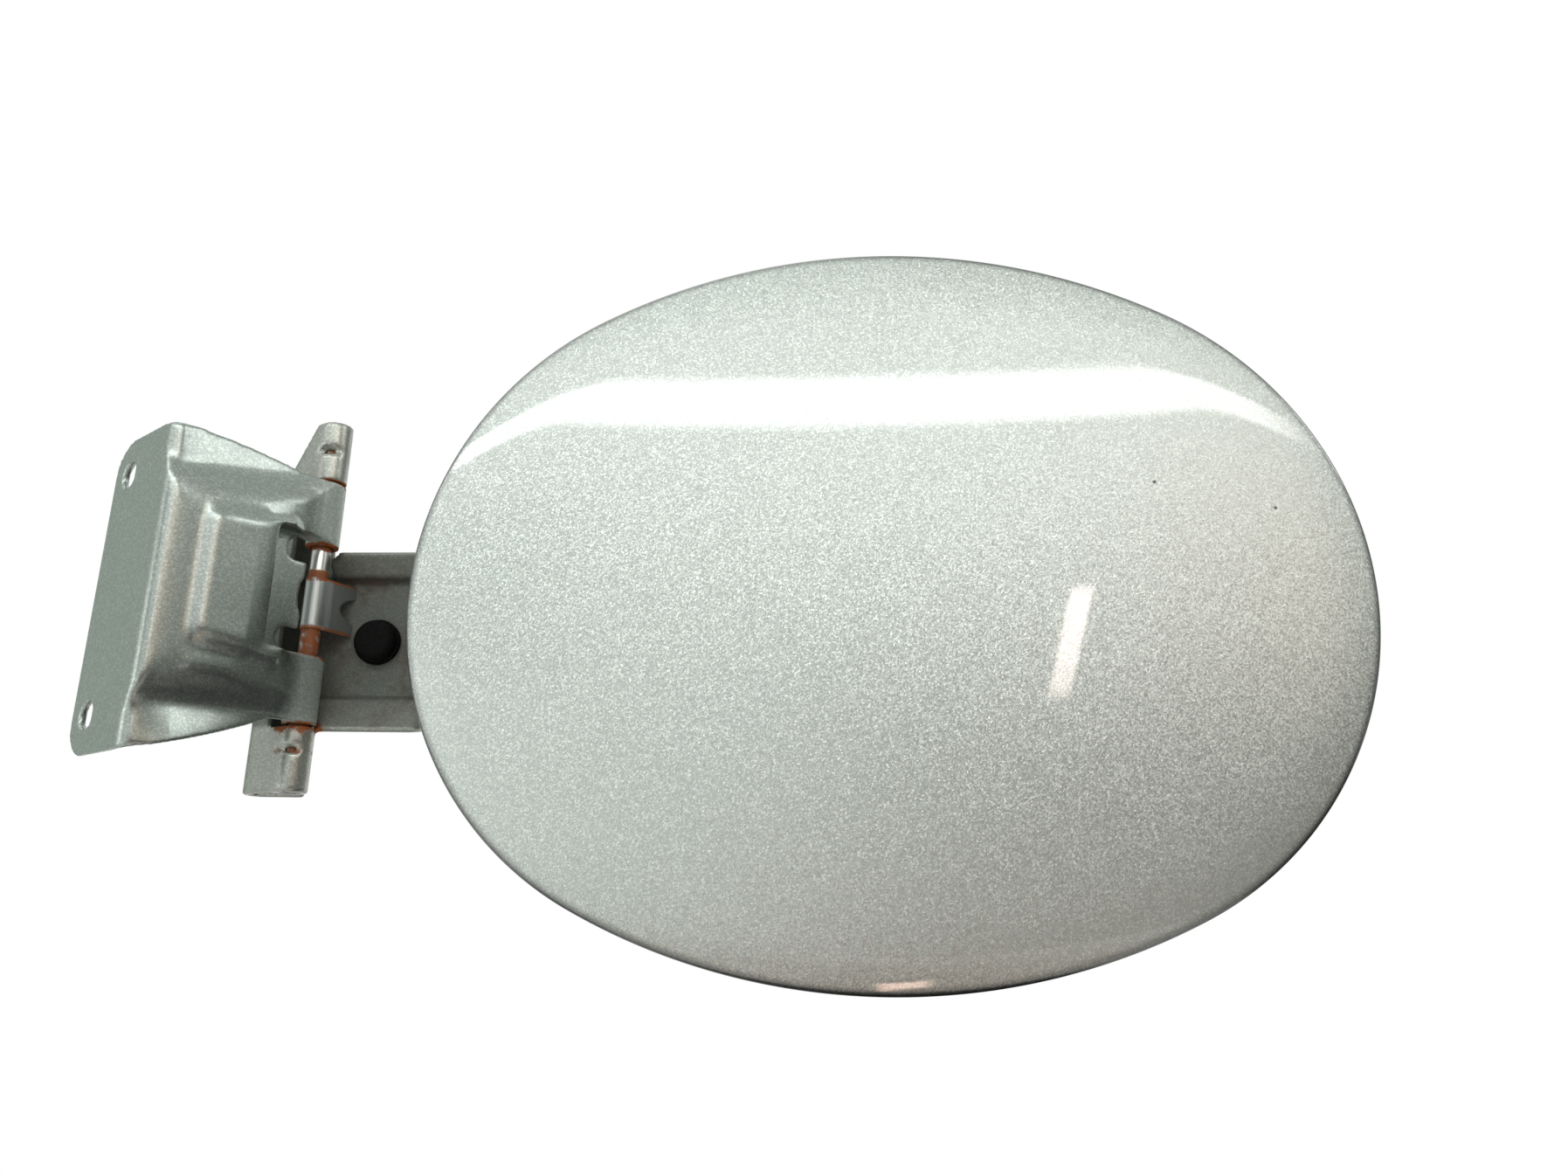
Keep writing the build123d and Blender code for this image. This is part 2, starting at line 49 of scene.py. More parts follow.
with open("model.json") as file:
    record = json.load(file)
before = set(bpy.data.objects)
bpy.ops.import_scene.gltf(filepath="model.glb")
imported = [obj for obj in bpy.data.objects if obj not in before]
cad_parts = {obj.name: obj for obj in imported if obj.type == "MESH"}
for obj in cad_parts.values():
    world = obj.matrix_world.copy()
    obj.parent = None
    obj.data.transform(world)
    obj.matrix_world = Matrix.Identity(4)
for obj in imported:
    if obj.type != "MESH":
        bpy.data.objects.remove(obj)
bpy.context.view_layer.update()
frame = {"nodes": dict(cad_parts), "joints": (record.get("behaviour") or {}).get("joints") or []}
skin_low, skin_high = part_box("outer_panel")
hinge_place = Vector(frame["joints"][0]["pos_m"])
MM = 0.001
PIN_SPAN = 90.0  # millimetres along the pin that the levels of rust and dirt run over
NO_LEVELS = ((-45, 0.0), (45, 0.0))  # nothing from one end of the span to the other
GRID_START = -42 * MM  # grid over the bracket's web, along the pin and along the web
GRID_STEP = 0.3 * MM
GRID_SHAPE = (280, 160)

# Lamps and cards round the object: name, what they stand round, angles from the front to the right, angles
# above the horizon, distance, margins, colour, strength and shape
PATCHES = (
    (
        "tube_lamp", "door", (-75, 75), (28.2, 33.4), 1.2, (0.04, 0.2), "#FFFFFF", 9.6,
        {"slant": (0, 1.7), "bow": 6.7, "taper": 0.9},
    ),
    ("strip_lamp", "door", (13.4, 15.5), (7.0, 16.2), 1.2, (0.2, 0.08), "#FFF0E8", 18.0, {"slant": (2.6, 0)}),
    ("left_window", "door", (-72, -47), (-10, 14), 1.2, (0.06, 0.3), "#FFFFFF", 2.4, {}),
    ("side_window", "hinge", (64, 94), (24, 37), 0.95, (0.15, 0.15), "#FFFFFF", 4.4, {}),
    ("right_card", "hinge", (40, 140), (-8, 50), 1.0, (0.15, 0.1), "#8A8F8A", 1.0, {}),
    ("low_card", "hinge", (36, 126), (-125, -36), 0.2, (0.12, 0.04), "#101316", 1.0, {"slant": (0, 13)}),
    ("low_right_card", "hinge", (55, 126), (-34, -3), 0.42, (0.12, 0.12), "#101316", 1.0, {"slant": (0, -7)}),
    ("top_card", "hinge", (20, 160), (48, 88), 0.9, (0.2, 0.2), "#C8CCC8", 1.0, {}),
    ("left_card", "hinge", (-140, -82), (-30, 50), 0.9, (0.15, 0.2), "#BAC3BB", 1.0, {}),
    ("green_wall", "door", (-50, -8), (-40, 8), 1.35, (0.35, 0.35), "#F4FFF8", 1.25, {}),
    ("left_shade", "door", (-62, -20), (6, 25), 1.3, (0.3, 0.3), "#858F87", 1.0, {}),
    ("ceiling_card", "door", (-70, 70), (37, 80), 1.3, (0.2, 0.1), "#C2CAC4", 1.0, {}),
    ("warm_wall", "door", (14, 85), (-5, 32), 1.35, (0.3, 0.35), "#FFE2D0", 1.65, {}),
    ("front_card", "door", (-15, 66), (-45, 16), 0.8, (0.35, 0.3), "#080909", 1.0, {}),
    ("table_glow", "door", (-50, 50), (-75, -25), 0.3, (0.25, 0.12), "#9A6A54", 1.0, {}),
    ("low_lamp", "door", (-1, 8), (-37.4, -34.6), 0.272, (0.3, 0.3), "#FFD9C4", 13.0, {"slant": (0, 1.6)}),
)


def linear(code):
    """Linear colour of an sRGB hex code."""
    parts = np.array([int(code[i : i + 2], 16) for i in (1, 3, 5)]) / 255
    return tuple(np.where(parts <= 0.04045, parts / 12.92, ((parts + 0.055) / 1.055) ** 2.4).tolist())


def length(name, description, millimetres):
    """A size property with its default in millimetres."""
    metres = millimetres * MM
    return FloatProperty(name=name, description=description, default=metres, unit="LENGTH", precision=5)


def colour(name, description, code):
    """A colour property with its default as an sRGB hex code."""
    shade = linear(code)
    return FloatVectorProperty(name=name, description=description, default=shade, subtype="COLOR", size=3)


class FuelDoorSizes(PropertyGroup):
    """Sizes of the door's skin and of the grain in the finishes."""

    skin_sheet: length("Skin sheet", "Thickness of the outer panel's steel", 0.8)
    inner_sheet: length("Inner sheet", "Thickness of the flange that the hem grips", 0.7)
    end_setback: length("End setback", "How far the end arcs' radius falls short of half the height", 6.2)
    crown: length("Crown", "Height of the middle of the door over its ends", 5.0)
    hem_width: length("Hem width", "Width of the edge folded back behind the door", 9.0)
    hem_edge: length("Hem edge", "Radius of the folded edge", 1.0)
    roll_off: length("Roll-off", "How far the face falls away at the rim beyond its crown", 0.6)
    roll_width: length("Roll-off width", "Width of the rim in which the face falls away", 15.0)
    flake: length("Flake", "Width of one metal flake in the paint", 0.24)
    stamping_voxel: length("Stamping grain", "Mesh width of the softened stampings", 0.4)
    crease_round: length("Crease rounding", "Width over which the bracket's ridges are rounded", 2.2)
    foot_round: length("Foot rounding", "Width over which the bracket's hollow creases are rounded", 0.7)
    panel_wall: length("Panel wall", "Width of the raised panel's sloping walls", 2.9)
    edge_round: length("Edge rounding", "Rounding of the small pieces' edges", 0.2)
    open_angle: FloatProperty(
        name="Open angle",
        description="Turn of the bracket's web from the door when the door stands as modelled",
        default=math.radians(54),
        unit="ROTATION",
    )


class FuelDoorColours(PropertyGroup):
    """Colours of the paint, steel, rust and rubber."""

    door_silver: colour("Door silver", "Silver paint on the door", "#BCC3BE")
    bracket_grey: colour("Bracket grey", "Paint on the bracket", "#A3ACA6")
    arm_grey: colour("Arm grey", "Paint on the gooseneck arm", "#A2A69E")
    inner_grey: colour("Inner grey", "Thin paint inside the door", "#AEB4AE")
    pin_bright: colour("Pin steel", "Drawn steel of the pin", "#C6C6C2")
    spring_steel: colour("Spring steel", "Tempered steel of the leaf spring", "#B4BAB8")
    zinc: colour("Zinc", "Zinc plating of the striker", "#B8BBB6")
    rust_bright: colour("Fresh rust", "Orange rust in the joints", "#985420")
    rust_dark: colour("Old rust", "Brown rust under the fresh rust", "#4E2B17")
    # Also the tint of the painted shade in the arm's channel and on the leaf spring
    grime_and_shade: colour("Grime", "Road dirt on the bracket", "#2C322C")
    # Painted shade: the dark colour laid along the door's folded rim
    rim_shade_colour: colour("Rim shade", "Painted shade along the door's folded edge", "#4A4C4A")
    rubber: colour("Rubber", "Black rubber of the bumper", "#060606")


class FuelDoorSettings(PropertyGroup):
    """All settings of the fuel door."""

    sizes: PointerProperty(type=FuelDoorSizes)
    colours: PointerProperty(type=FuelDoorColours)


def add_node(tree, kind, inputs=None, **settings):
    """Adds one node, sets its attributes, and fills or links its inputs."""
    made = tree.nodes.new(kind)
    for name, value in settings.items():
        setattr(made, name, value)
    for socket, value in (inputs or {}).items():
        if isinstance(value, bpy.types.NodeSocket):
            tree.links.new(value, made.inputs[socket])
        else:
            made.inputs[socket].default_value = value
    return made


def start_material(name):
    """An empty node material and its tree."""
    material = bpy.data.materials.new(name)
    material.use_nodes = True
    material.node_tree.nodes.clear()
    return material, material.node_tree


def close_material(tree, inputs):
    """Adds the shader and the output that end a material."""
    shader = add_node(tree, "ShaderNodeBsdfPrincipled", inputs)
    add_node(tree, "ShaderNodeOutputMaterial", {"Surface": shader.outputs["BSDF"]})


def rgba(colour_value):
    """A property's colour with full alpha."""
    return (*colour_value, 1.0)


def worked_out(tree, operation, *values):
    """Result of one operation on numbers or sockets."""
    return add_node(tree, "ShaderNodeMath", dict(enumerate(values)), operation=operation).outputs["Value"]


def mapped(tree, value, start=(0.0, 1.0), end=(0.0, 1.0), kind="LINEAR"):
    """A socket's value moved from one range into another and held there."""
    inputs = {"Value": value, "From Min": start[0], "From Max": start[1], "To Min": end[0], "To Max": end[1]}
    return add_node(tree, "ShaderNodeMapRange", inputs, interpolation_type=kind).outputs["Result"]


def mixed_colour(tree, share, first, second, blend="MIX"):
    """Colour between two colours, by a share of the second."""
    inputs = {0: share, 6: first, 7: second}
    return add_node(tree, "ShaderNodeMix", inputs, data_type="RGBA", blend_type=blend).outputs[2]


def noise(tree, place, width, detail, roughness):
    """Cloudy noise with clouds of the given width."""
    inputs = {"Vector": place, "Scale": 1 / width, "Detail": detail, "Roughness": roughness}
    return add_node(tree, "ShaderNodeTexNoise", inputs).outputs["Fac"]


def object_place(tree):
    """Place on the object, in metres."""
    return add_node(tree, "ShaderNodeTexCoord").outputs["Object"]


def dirt_specks(tree, place, spacing, radii, share=1.0):
    """Round specks of dirt, one in each cell, fading between two radii given as shares of the spacing."""
    cells = add_node(tree, "ShaderNodeTexVoronoi", {"Vector": place, "Scale": 1 / spacing})
    return mapped(tree, cells.outputs["Distance"], radii, (0.0, share))


def flake_glint(tree, place, width, dark, bright):
    """Flakes as cells of the given width: the brightness of each, few of them bright, and its random colour."""
    flakes = add_node(tree, "ShaderNodeTexVoronoi", {"Vector": place, "Scale": 1 / width})
    shade = add_node(tree, "ShaderNodeSeparateColor", {"Color": flakes.outputs["Color"]})
    few_bright = worked_out(tree, "POWER", shade.outputs["Red"], 2.5)
    return mapped(tree, few_bright, end=(dark, bright)), flakes.outputs["Color"]


def ramp_of_levels(tree, share, levels, shift=0.0):
    """Ramp along the pin, from pairs of height from the middle of the hinge in millimetres and level."""
    ramp = add_node(tree, "ShaderNodeValToRGB", {"Fac": share})
    stops = ramp.color_ramp.elements
    while len(stops) < len(levels):
        stops.new(0.5)
    for stop, (along, level) in zip(stops, sorted(levels)):
        stop.position = 0.5 + (along + shift) / PIN_SPAN
        stop.color = (level, level, level, 1.0)
    return ramp.outputs["Color"]


def rust_along_pin(tree, levels, reach):
    """Rust mask round the hinge: a level for each height along the pin, fading with distance from the pin.

    The levels are pairs of height from the middle of the hinge, in millimetres, and share of rust. Noise two
    millimetres wide shifts the heights, so the edges of the rust are ragged. The mask, that noise, the
    distance from the pin and the share of the way along the pin are returned.
    """
    raggedness = 1.6
    half_span = PIN_SPAN / 2 * MM
    mapping = {"Vector": object_place(tree), "Location": -hinge_place}
    from_pin = add_node(tree, "ShaderNodeMapping", mapping, vector_type="POINT").outputs["Vector"]
    ragged = noise(tree, from_pin, 2 * MM, 4.0, 0.65)
    parts = add_node(tree, "ShaderNodeSeparateXYZ", {"Vector": from_pin})
    height = mapped(tree, parts.outputs["Z"], (-half_span, half_span))
    shifted = worked_out(tree, "MULTIPLY_ADD", ragged, raggedness / PIN_SPAN, height)
    level = ramp_of_levels(tree, shifted, levels, raggedness / 2)
    flat = add_node(tree, "ShaderNodeCombineXYZ", {"X": parts.outputs["X"], "Y": parts.outputs["Y"]})
    distance = add_node(
        tree, "ShaderNodeVectorMath", {0: flat.outputs["Vector"]}, operation="LENGTH"
    ).outputs["Value"]
    near = mapped(tree, distance, (reach * MM, 0.6 * reach * MM), kind="SMOOTHSTEP")
    speckle = worked_out(tree, "MULTIPLY", worked_out(tree, "MULTIPLY", level, near), ragged)
    mask = mapped(tree, speckle, (0.18, 0.42), kind="SMOOTHSTEP")
    return mask, ragged, distance, height


def rust_over(tree, settings, rust, ragged, under):
    """Rust, brown to orange by the ragged noise, over another colour."""
    colours = settings.colours
    tone = mixed_colour(tree, ragged, rgba(colours.rust_dark), rgba(colours.rust_bright))
    return mixed_colour(tree, rust, under, tone)


def silver_paint(settings):
    """Metallic car paint, sprayed: aluminium flakes under a clear lacquer.

    The flakes give a fine sparkle and a soft sheen, and the lacquer on top gives sharp reflections of lamps.
    Real flakes are a few hundredths of a millimetre wide, so they are drawn coarser to show in the picture.
    Each flake leans a little, a few specks of dark dirt lie on the face, and painted shade darkens the door's
    folded rim.
    """
    material, tree = start_material("silver_metallic_paint")
    sizes, colours = settings.sizes, settings.colours
    place = object_place(tree)
    glint, flake_colour = flake_glint(tree, place, sizes.flake, 0.8, 1.42)
    flaked = mixed_colour(tree, 1.0, rgba(colours.door_silver), glint, "MULTIPLY")
    specks = dirt_specks(tree, place, 14 * MM, (0.03, 0.02))
    # Painted shade along the folded rim, joined to the specks of dirt
    edge = add_node(tree, "ShaderNodeAttribute", attribute_name="rim_shade_share")
    specks_and_rim_shade = worked_out(tree, "MAXIMUM", specks, edge.outputs["Fac"])
    lean = add_node(
        tree, "ShaderNodeVectorMath", {0: flake_colour, 1: (0.5, 0.5, 0.5)}, operation="SUBTRACT"
    ).outputs["Vector"]
    normal = add_node(tree, "ShaderNodeNewGeometry").outputs["Normal"]
    most_lean = (0.25, 0.25, 0.25)
    leaned = add_node(
        tree, "ShaderNodeVectorMath", {0: lean, 1: most_lean, 2: normal}, operation="MULTIPLY_ADD"
    ).outputs["Vector"]
    facing = add_node(tree, "ShaderNodeVectorMath", {0: leaned}, operation="NORMALIZE")
    close_material(
        tree,
        {
            "Base Color": mixed_colour(tree, specks_and_rim_shade, flaked, rgba(colours.rim_shade_colour)),
            "Metallic": 0.95,
            "Roughness": 0.45,
            "Normal": facing.outputs["Vector"],
            "Coat Weight": 1.0,
            "Coat Roughness": 0.03,
            "Coat IOR": 1.5,
        },
    )
    return material


def stamped_paint(name, settings, paint, levels, reach, grime_share, rubbing=0.42, channel=NO_LEVELS):
    """Thin silver paint over pressed steel: duller than the door's, with grime, specks and rust by the hinge.

    The paint sparkles with flakes and has a slight orange peel half a millimetre wide. Grime lies in clouds
    about ten millimetres wide. By the channel's levels along the pin, what lies in front of the door is
    darkened
    as well: dirt, with painted shade where the bracket and the door shade the arm. Rust breaks through where
    the knuckles rub, and there the paint is rubbed matt.
    """
    material, tree = start_material(name)
    colours = settings.colours
    rust, ragged, from_pin, height = rust_along_pin(tree, levels, reach)
    place = object_place(tree)
    glint, _ = flake_glint(tree, place, 1.3 * settings.sizes.flake, 0.86, 1.28)
    base = mixed_colour(tree, 1.0, rgba(paint), glint, "MULTIPLY")
    clouds = noise(tree, place, 11 * MM, 7.0, 0.7)
    grimy = mapped(tree, clouds, (0.5, 0.75), (0.0, grime_share))
    door_start = skin_low.x - hinge_place.x
    before_door = mapped(tree, from_pin, (door_start + 16 * MM, door_start + 8 * MM))
    # Painted shade with dirt: by the channel's levels, the arm's channel in front of the door is darkened for
    # the shade that the bracket and the door cast there
    channel_dirt_and_shade = worked_out(tree, "MULTIPLY", ramp_of_levels(tree, height, channel), before_door)
    grime_and_shade = add_node(tree, "ShaderNodeMath", {0: grimy, 1: channel_dirt_and_shade}, operation="ADD", use_clamp=True)
    grime_and_shade = grime_and_shade.outputs["Value"]
    brown = mapped(tree, clouds, (0.45, 0.75), (0.0, 0.6))
    dirt_and_shade_tone = mixed_colour(tree, brown, rgba(colours.grime_and_shade), rgba(colours.rust_dark))
    soiled_and_shaded = mixed_colour(tree, grime_and_shade, base, dirt_and_shade_tone)
    specks = dirt_specks(tree, place, 4 * MM, (0.08, 0.05), 0.3)
    matt = mapped(tree, worked_out(tree, "MAXIMUM", grime_and_shade, specks), end=(0.3, 0.6))
    rubbed = mapped(tree, from_pin, (8 * MM, 5 * MM), (0.0, rubbing))
    dull = worked_out(tree, "MAXIMUM", worked_out(tree, "MAXIMUM", grime_and_shade, rust), rubbed)
    soft_edges = add_node(tree, "ShaderNodeBevel", {"Radius": 0.6 * MM}, samples=8)
    relief = {
        "Strength": 0.1,
        "Distance": 0.2 * MM,
        "Height": noise(tree, place, 0.5 * MM, 3.0, 0.6),
        "Normal": soft_edges.outputs["Normal"],
    }
    close_material(
        tree,
        {
            "Base Color": rust_over(tree, settings, rust, ragged, soiled_and_shaded),
            "Metallic": mapped(tree, dull, end=(0.95, 0.0)),
            "Roughness": worked_out(tree, "MAXIMUM", worked_out(tree, "MAXIMUM", matt, rubbed), rust),
            "Normal": add_node(tree, "ShaderNodeBump", relief).outputs["Normal"],
            "Specular IOR Level": 0.25,
            "Coat Weight": 0.12,
            "Coat Roughness": 0.12,
        },
    )
    return material


def bare_steel(name, settings, steel, levels, roughness, leaf_dirt_and_shade=0.0):
    """Bare steel, drawn or rolled: bright where it rubs, with rings of rust where it doesn't.

    Fine scratches run along the pin. The leaf_dirt_and_shade share darkens and dulls what stands away from the
    pin: dirt, with painted shade.
    """
    material, tree = start_material(name)
    rust, ragged, from_pin, _ = rust_along_pin(tree, levels, 12.0)
    drawn = add_node(tree, "ShaderNodeMapping", {"Vector": object_place(tree), "Scale": (1.0, 1.0, 0.12)})
    scratches = noise(tree, drawn.outputs["Vector"], 0.4 * MM, 4.0, 0.6)
    tone = mapped(tree, scratches, end=(0.72, 1.2))
    bright = mixed_colour(tree, 1.0, rgba(steel), tone, "MULTIPLY")
    # Painted shade with dirt: the leaf away from the pin is darkened and made matt
    away = mapped(tree, from_pin, (2.4 * MM, 3.6 * MM), (0.0, leaf_dirt_and_shade))
    dirty_and_shaded = mixed_colour(tree, away, bright, rgba(settings.colours.grime_and_shade))
    dull = worked_out(tree, "MAXIMUM", rust, away)
    relief = {"Strength": 0.2, "Distance": 0.1 * MM, "Height": scratches}
    close_material(
        tree,
        {
            "Base Color": rust_over(tree, settings, rust, ragged, dirty_and_shaded),
            "Metallic": mapped(tree, dull, end=(1.0, 0.0)),
            "Roughness": mapped(tree, dull, end=(roughness, 0.65)),
            "Normal": add_node(tree, "ShaderNodeBump", relief).outputs["Normal"],
        },
    )
    return material


def black_rubber(settings):
    """Moulded rubber, aged: nearly black and matt, with a dusty bloom and a fine pitted skin."""
    material, tree = start_material("moulded_black_rubber")
    colours = settings.colours
    pits = noise(tree, object_place(tree), 0.7 * MM, 5.0, 0.65)
    bloom = mapped(tree, pits, (0.5, 0.8), (0.0, 0.3))
    relief = {"Strength": 0.5, "Distance": 0.3 * MM, "Height": pits}
    close_material(
        tree,
        {
            "Base Color": mixed_colour(tree, bloom, rgba(colours.rubber), rgba(colours.grime_and_shade)),
            "Roughness": 0.8,
            "Specular IOR Level": 0.15,
            "Normal": add_node(tree, "ShaderNodeBump", relief).outputs["Normal"],
        },
    )
    return material


def oval(turn, inset, half_length, half_height, setback):
    """Points of the door's four-arc oval, as arrays of x and z from its middle.

    The turn is the direction of the outward normal. Each of the four arcs has a centre and a radius, and a
    point is that centre plus the radius, less the inset, along the normal.
    """
    end_radius = half_height - setback
    side_radius = (half_length**2 + half_height**2 - 2 * half_length * end_radius) / (2 * setback)
    end_centre = half_length - end_radius
    side_centre = side_radius - half_height
    joint = math.atan2(side_centre, end_centre)
    across, up = np.cos(turn), np.sin(turn)
    on_side = np.abs(up) > math.sin(joint)
    radius = np.where(on_side, side_radius, end_radius) - inset
    centre_x = np.where(on_side, 0.0, np.sign(across) * end_centre)
    centre_z = np.where(on_side, -np.sign(up) * side_centre, 0.0)
    return centre_x + radius * across, centre_z + radius * up


def skin_section(sizes):
    """Section of the door's skin from the middle of its face, round the hem and back to the middle behind.

    Three arrays run along it: the share of the way out to the rim zone, the inset from the rim and the depth
    under the crown. The hem's edge is two quarter circles, and the roll-off deepens the face with the cube
    of the way into its width.
    """
    sheet, edge = sizes.skin_sheet, sizes.hem_edge
    depth_of_hem = 2 * sheet + sizes.inner_sheet
    slot_depth = sheet + sizes.inner_sheet
    zone = 2 * sizes.hem_width
    chamfer = 0.2 * MM
    arc = np.linspace(0, math.pi / 2, 9)
    face_inset = np.linspace(zone, edge, 40)
    rolled = sizes.roll_off * np.clip(1 - face_inset / sizes.roll_width, 0, 1) ** 3
    rim_depth = rolled[-1]
    upper = (edge * (1 - np.sin(arc)), rim_depth + edge * (1 - np.cos(arc)))
    lower_radius = min(edge, depth_of_hem - rim_depth - edge)
    lower = (lower_radius * (1 - np.cos(arc)), depth_of_hem - lower_radius * (1 - np.sin(arc)))
    back_inset = np.array([edge + sheet, sizes.hem_width - chamfer, sizes.hem_width, sizes.hem_width])
    back_depth = np.array([depth_of_hem, depth_of_hem, depth_of_hem - chamfer, slot_depth])
    slot_inset = np.array([4 * sheet, sheet, sheet, 4 * sheet])
    slot_levels = np.array([slot_depth, slot_depth, sheet, sheet])
    under_inset = np.linspace(sizes.hem_width, zone, 8)
    middle = np.linspace(0, 1, 50)[1:-1]
    rim_inset = np.concatenate([face_inset, upper[0][1:], lower[0], back_inset, slot_inset, under_inset])
    under_depth = np.full(len(under_inset), sheet)
    rim_depths = np.concatenate([rolled, upper[1][1:], lower[1], back_depth, slot_levels, under_depth])
    share = np.concatenate([middle, np.ones(len(rim_inset)), middle[::-1]])
    inset = np.concatenate([np.full(len(middle), zone), rim_inset, np.full(len(middle), zone)])
    depth = np.concatenate([np.zeros(len(middle)), rim_depths, np.full(len(middle), sheet)])
    return share, inset, depth


def ring_faces(count, around):
    """Faces between rings of points, and a fan from the first ring to the point that follows the last ring."""
    here = np.arange(around)
    after = (here + 1) % around
    start = (np.arange(count - 1) * around)[:, None]
    quads = np.stack([start + here, start + around + here, start + around + after, start + after], axis=-1)
    fan = np.stack([np.full(around, count * around), here, after], axis=-1)
    return quads.reshape(-1, 4).tolist() + fan.tolist()


def shell_mesh(name, rings, first_pole, last_pole):
    """Closed mesh from an array of rings, with a fan to a pole at each end."""
    count, around = rings.shape[:2]
    points = np.vstack([rings.reshape(-1, 3), first_pole, last_pole])
    end = (count - 1) * around + np.arange(around)
    fan_out = np.stack([np.full(around, count * around + 1), np.roll(end, -1), end], axis=-1)
    mesh = bpy.data.meshes.new(name)
    mesh.from_pydata(points.tolist(), [], ring_faces(count, around) + fan_out.tolist())
    mesh.shade_smooth()
    mesh.set_sharp_from_angle(angle=math.radians(40))
    return mesh


def show_object(name, mesh, material):
    """New object at the origin with its mesh and material, in the scene."""
    made = bpy.data.objects.new(name, mesh)
    made.data.materials.append(material)
    bpy.context.scene.collection.objects.link(made)
    return made


def paint_node(name, material):
    """Gives a CAD node its one material and returns the node."""
    node = frame["nodes"][name]
    node.data.materials.clear()
    node.data.materials.append(material)
    return node


def weld_seams(node):
    """Joins the points that a solid's faces have in common."""
    weld = node.modifiers.new("weld", "WELD")
    weld.merge_threshold = 0.001 * MM


def soften_stamping(node, voxel):
    """Finishes a pressed sheet: an even mesh with its edges and bends smoothed, as the press leaves them."""
    weld_seams(node)
    even = node.modifiers.new("even", "REMESH")
    even.mode = "VOXEL"
    even.voxel_size = voxel
    even.use_smooth_shade = True
    soft = node.modifiers.new("soft", "SMOOTH")
    soft.factor = 0.5
    soft.iterations = 3


def grown(value, width):
    """Share that grows from 0 to 1 as a value goes from nothing to the width."""
    return np.clip(value / width, 0, 1)


def blurred(field, width):
    """A field blurred with a bell curve of the given width: its spectrum times that of the curve."""
    tall, wide = (np.fft.fftfreq(count, GRID_STEP)[:, None] for count in field.shape)
    bell = np.exp(-2 * (math.pi * width) ** 2 * (tall**2 + wide.T**2))
    return np.fft.ifft2(np.fft.fft2(field) * bell).real


def boxed(field, width):
    """A field averaged over a square of the given width: its spectrum times that of the square."""
    tall, wide = (np.fft.fftfreq(count, GRID_STEP)[:, None] for count in field.shape)
    return np.fft.ifft2(np.fft.fft2(field) * np.sinc(width * tall) * np.sinc(width * wide.T)).real


def sampled(field, row, column):
    """A field read between its cells: the mean of the four cells round a place, weighted by nearness."""
    row = np.clip(row, 0, field.shape[0] - 1.001)
    column = np.clip(column, 0, field.shape[1] - 1.001)
    low, left = np.floor(row).astype(int), np.floor(column).astype(int)
    up, right = row - low, column - left
    below = field[low, left] * (1 - right) + field[low, left + 1] * right
    above = field[low + 1, left] * (1 - right) + field[low + 1, left + 1] * right
    return below * (1 - up) + above * up


def vertex_vectors(mesh, name):
    """A vector of every vertex, as the rows of an array."""
    values = np.zeros(len(mesh.vertices) * 3)
    mesh.vertices.foreach_get(name, values)
    return values.reshape(-1, 3)


def press_panel(hump, soft, known, sizes):
    """New height of the web over the grid: the hump, and on it the raised panel with even walls.

    On the panel the height is averaged over a square as wide as the walls, so they lie at a gentle slope, and
    its difference from a wider blur is added, which deepens their feet. The panel is then lifted between
    its lower, upper and far walls, the more the farther from the knuckles. It reaches farther along the pin
    near the knuckles, and all its borders are soft.
    """
    little_blur, wide_blur, deepening = 0.4 * MM, 2.5 * MM, 0.45
    panel_middle, half_reach, far_reach = -0.8 * MM, 19.8 * MM, -29 * MM
    widening, widening_start, widening_run = 3.2 * MM, -20 * MM, 8 * MM
    near_end, far_wall = -10 * MM, -27.5 * MM
    low_wall, low_slope, high_wall, high_slope = -16 * MM, 0.125, 14.6 * MM, 0.15
    least_lift, lift_slope = 0.1 * MM, 0.045
    along_pin, along_web = (GRID_START + GRID_STEP * np.arange(count) for count in GRID_SHAPE)
    along_pin = along_pin[:, None]
    even = boxed(blurred(soft, little_blur) * known, sizes.panel_wall)
    even = even / np.maximum(boxed(known, sizes.panel_wall), 1e-2)
    even = even + deepening * (even - blurred(even, wide_blur))
    reach = half_reach + widening * grown(along_web - widening_start, widening_run)
    on_panel = grown(reach - np.abs(along_pin - panel_middle), 1.5 * MM)
    on_panel = on_panel * grown(along_web - far_reach, 2 * MM)
    from_near = near_end - along_web
    over_low_wall = along_pin - low_wall - low_slope * from_near
    under_high_wall = high_wall - high_slope * from_near - along_pin
    raised = np.clip(0.5 + np.minimum(over_low_wall, under_high_wall) / (3 * MM), 0, 1)
    raised = raised * np.clip(0.5 + (along_web - far_wall) / (2 * MM), 0, 1)
    lift = np.maximum(least_lift + lift_slope * from_near, 0.0) * blurred(raised, little_blur)
    return hump * (1 - on_panel) + even * on_panel + lift


